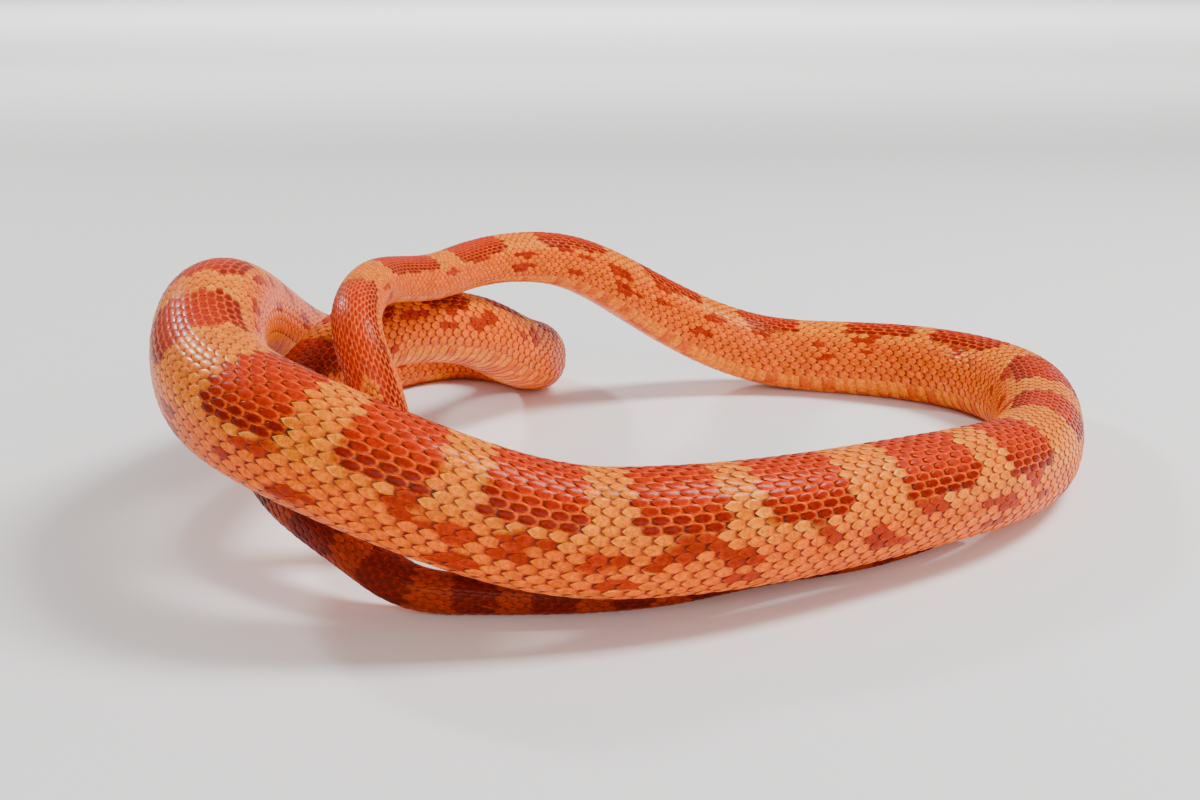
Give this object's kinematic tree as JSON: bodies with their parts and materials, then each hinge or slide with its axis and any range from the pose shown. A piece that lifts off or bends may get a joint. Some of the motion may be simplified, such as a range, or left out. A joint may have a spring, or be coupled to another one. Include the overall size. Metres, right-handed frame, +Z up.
{
  "type": "corn snake",
  "caption": "Life-size still model of an orange and red corn snake lying in a raised loop, with the head inside it and the tail under the front coil.",
  "frame": {"origin": "middle of the bounding box, on the floor that the belly rests on", "axes": "+X to the right seen from the front coil's side, +Y from the front coil to the back of the loop, +Z up"},
  "size_m": [0.2605, 0.2588, 0.07],
  "materials": {
    "head_skin": "satin",
    "body_skin": "satin",
    "tail_skin": "satin",
    "eye_surface": "gloss"
  },
  "bodies": {
    "root": {"head": "head_skin", "neck": "body_skin", "body_01": "body_skin", "body_02": "body_skin", "body_03": "body_skin", "body_04": "body_skin", "body_05": "body_skin", "body_06": "body_skin", "body_07": "body_skin", "body_08": "body_skin", "body_09": "body_skin", "body_10": "body_skin", "tail_base": "tail_skin", "tail_end": "tail_skin", "eye_left": "eye_surface", "eye_right": "eye_surface"}
  },
  "joints": []
}
